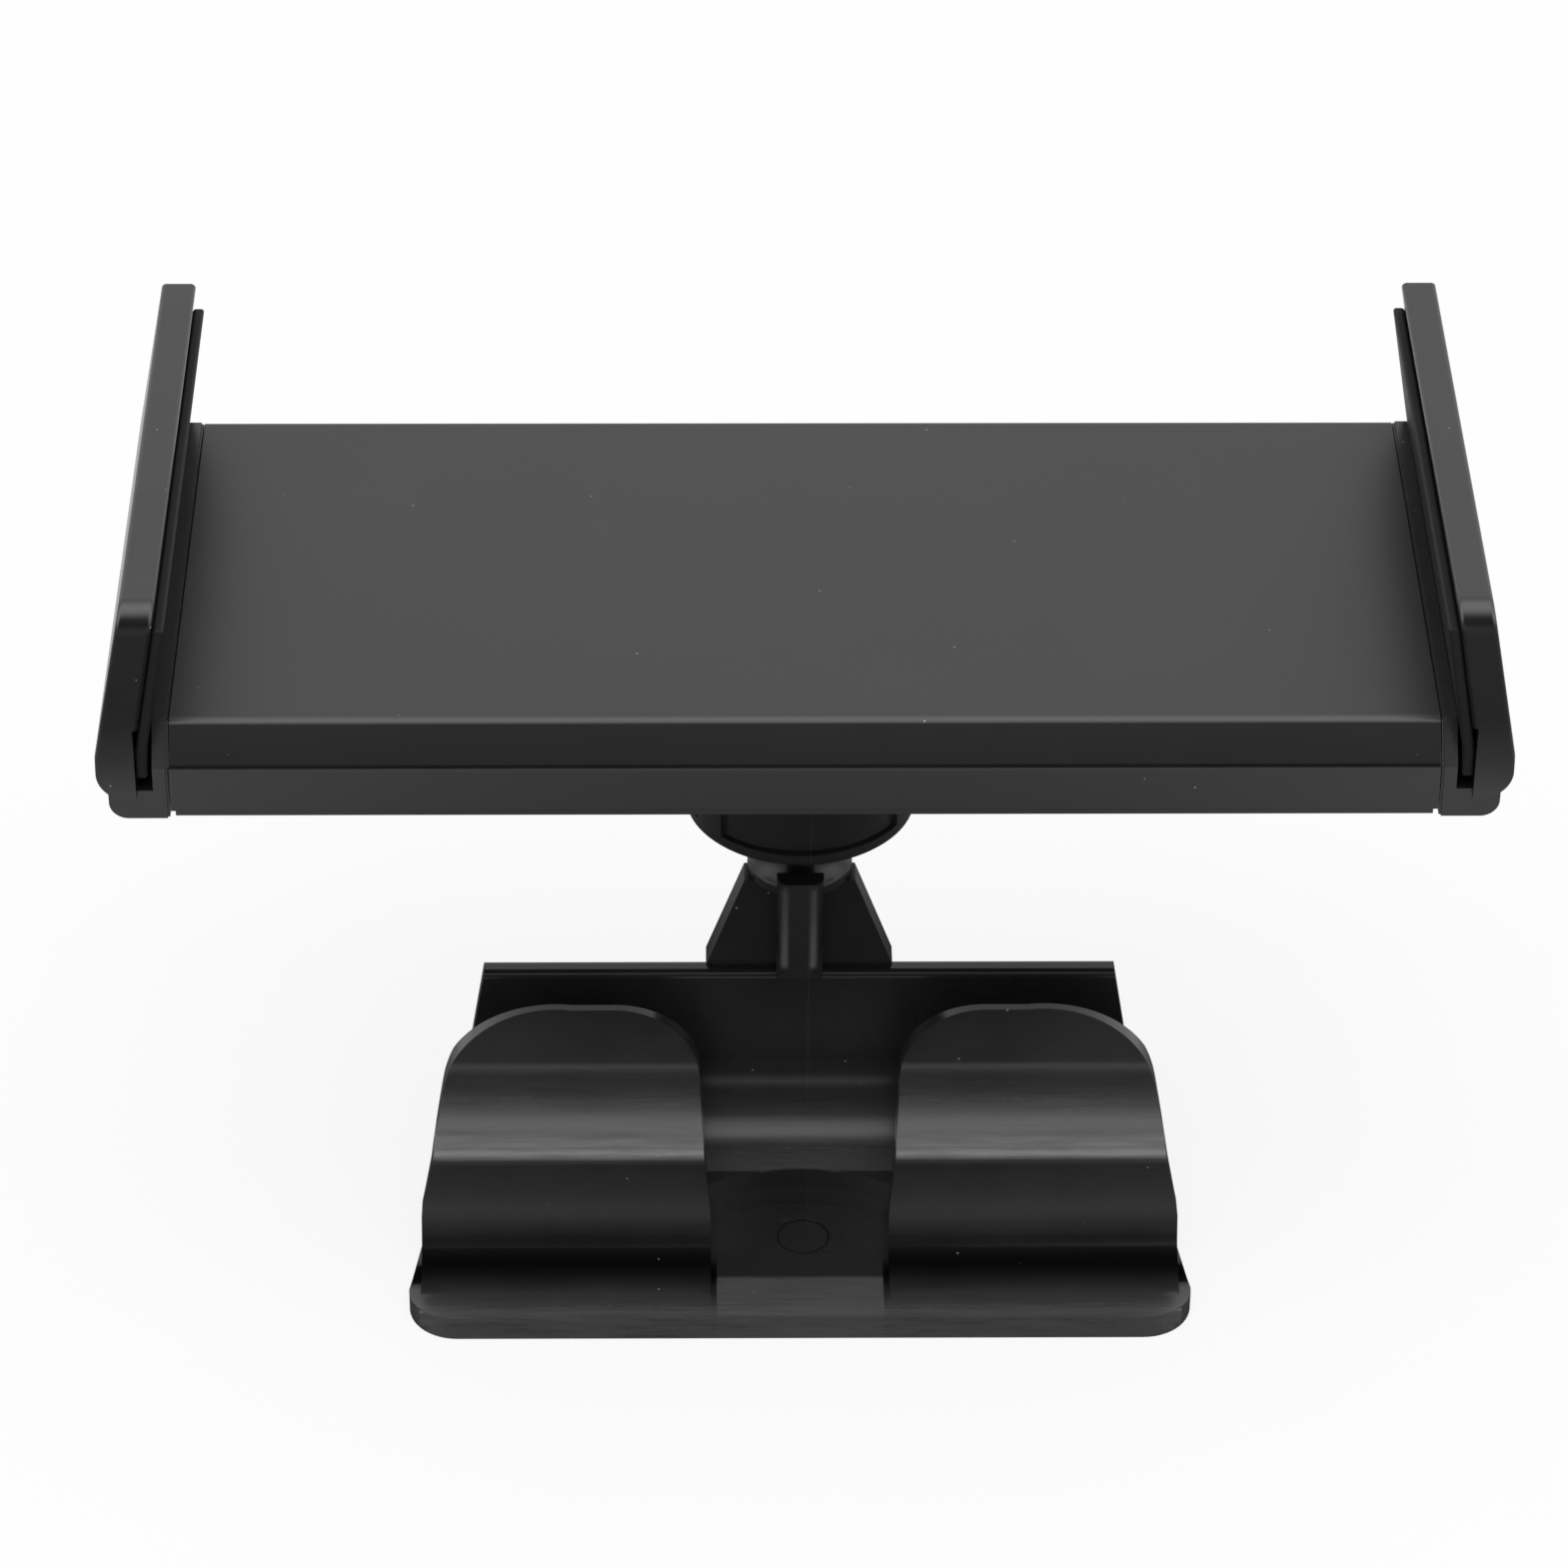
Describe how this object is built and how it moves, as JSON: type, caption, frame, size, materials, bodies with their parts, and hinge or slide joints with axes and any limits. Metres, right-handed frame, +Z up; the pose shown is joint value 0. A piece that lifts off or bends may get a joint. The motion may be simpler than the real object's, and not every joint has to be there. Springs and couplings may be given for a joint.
{
  "type": "headrest phone holder",
  "caption": "Black plastic holder: spring-loaded jaws slide in step over a flat cradle, which swivels on a ball joint above a clip with sprung tabs.",
  "frame": {"origin": "on the surface that the foot stands on, straight under the middle of the ball", "axes": "+X along the width that the jaws open in, -Y towards the clip's open side with the tabs, +Z up out of the cradle's face"},
  "size_m": [0.1336, 0.0584, 0.0887],
  "materials": {
    "clip_plastic": "glossy moulded black ABS",
    "ball_plastic": "black acetal, satin",
    "cup_plastic": "black nylon, satin",
    "cover_plastic": "fine spark-textured black ABS",
    "jaw_plastic": "satin moulded black ABS",
    "pad_rubber": "smooth black rubber",
    "plate_plastic": "black nylon, satin",
    "gear_plastic": "natural acetal",
    "screw_steel": "black zinc plated steel",
    "spring_steel": "bright spring steel"
  },
  "bodies": {
    "bracket": {"clip_bracket": "clip_plastic"},
    "stud": {"ball_stud": "ball_plastic", "stud_screw": "screw_steel"},
    "cup": {"ball_cup": "cup_plastic"},
    "cradle": {"front_cover": "cover_plastic", "rear_cover": "cover_plastic", "housing_screws": "screw_steel", "pinion_washer": "screw_steel", "pinion_screw": "screw_steel", "left_spring": "spring_steel", "right_spring": "spring_steel"},
    "collar": {"lock_collar": "clip_plastic"},
    "gear": {"pinion": "gear_plastic"},
    "left_slider": {"left_slide_plate": "plate_plastic", "left_jaw": "jaw_plastic", "left_pad": "pad_rubber", "left_jaw_screws": "screw_steel"},
    "right_slider": {"right_slide_plate": "plate_plastic", "right_jaw": "jaw_plastic", "right_pad": "pad_rubber", "right_jaw_screws": "screw_steel"}
  },
  "joints": [
    {"name": "neck_swivel", "type": "hinge", "parent": "bracket", "child": "stud", "pos_m": [0, 0, 0.0554], "axis": [0, 0, 1], "continuous": true},
    {"name": "ball_tilt", "type": "hinge", "parent": "stud", "child": "cup", "pos_m": [0, 0, 0.0554], "axis": [1, 0, 0], "range_deg": [-28, 28]},
    {"name": "cradle_turn", "type": "hinge", "parent": "cup", "child": "cradle", "pos_m": [0, 0, 0.0554], "axis": [0, 0, 1], "continuous": true},
    {"name": "collar_thread", "type": "hinge", "parent": "cradle", "child": "collar", "pos_m": [0, 0, 0.0552], "axis": [0, 0, 1], "range_deg": [0, 180]},
    {"name": "left_jaw_slide", "type": "slide", "parent": "cradle", "child": "left_slider", "axis": [-1, 0, 0], "range_m": [0, 0.04], "stiffness_N_per_m": 60, "springref_m": -0.025, "deforming": ["left_spring"]},
    {"name": "right_jaw_slide", "type": "slide", "parent": "cradle", "child": "right_slider", "axis": [1, 0, 0], "range_m": [0, 0.04], "stiffness_N_per_m": 60, "springref_m": -0.025, "deforming": ["right_spring"]},
    {"name": "pinion_spin", "type": "hinge", "parent": "cradle", "child": "gear", "pos_m": [0, 0, 0.0686], "axis": [0, 0, 1], "range_deg": [-5, 415]}
  ],
  "couplings": [
    {"joint": "right_jaw_slide", "follows": "left_jaw_slide", "ratio": 1},
    {"joint": "pinion_spin", "follows": "left_jaw_slide", "rad_per_m": 178.57}
  ]
}
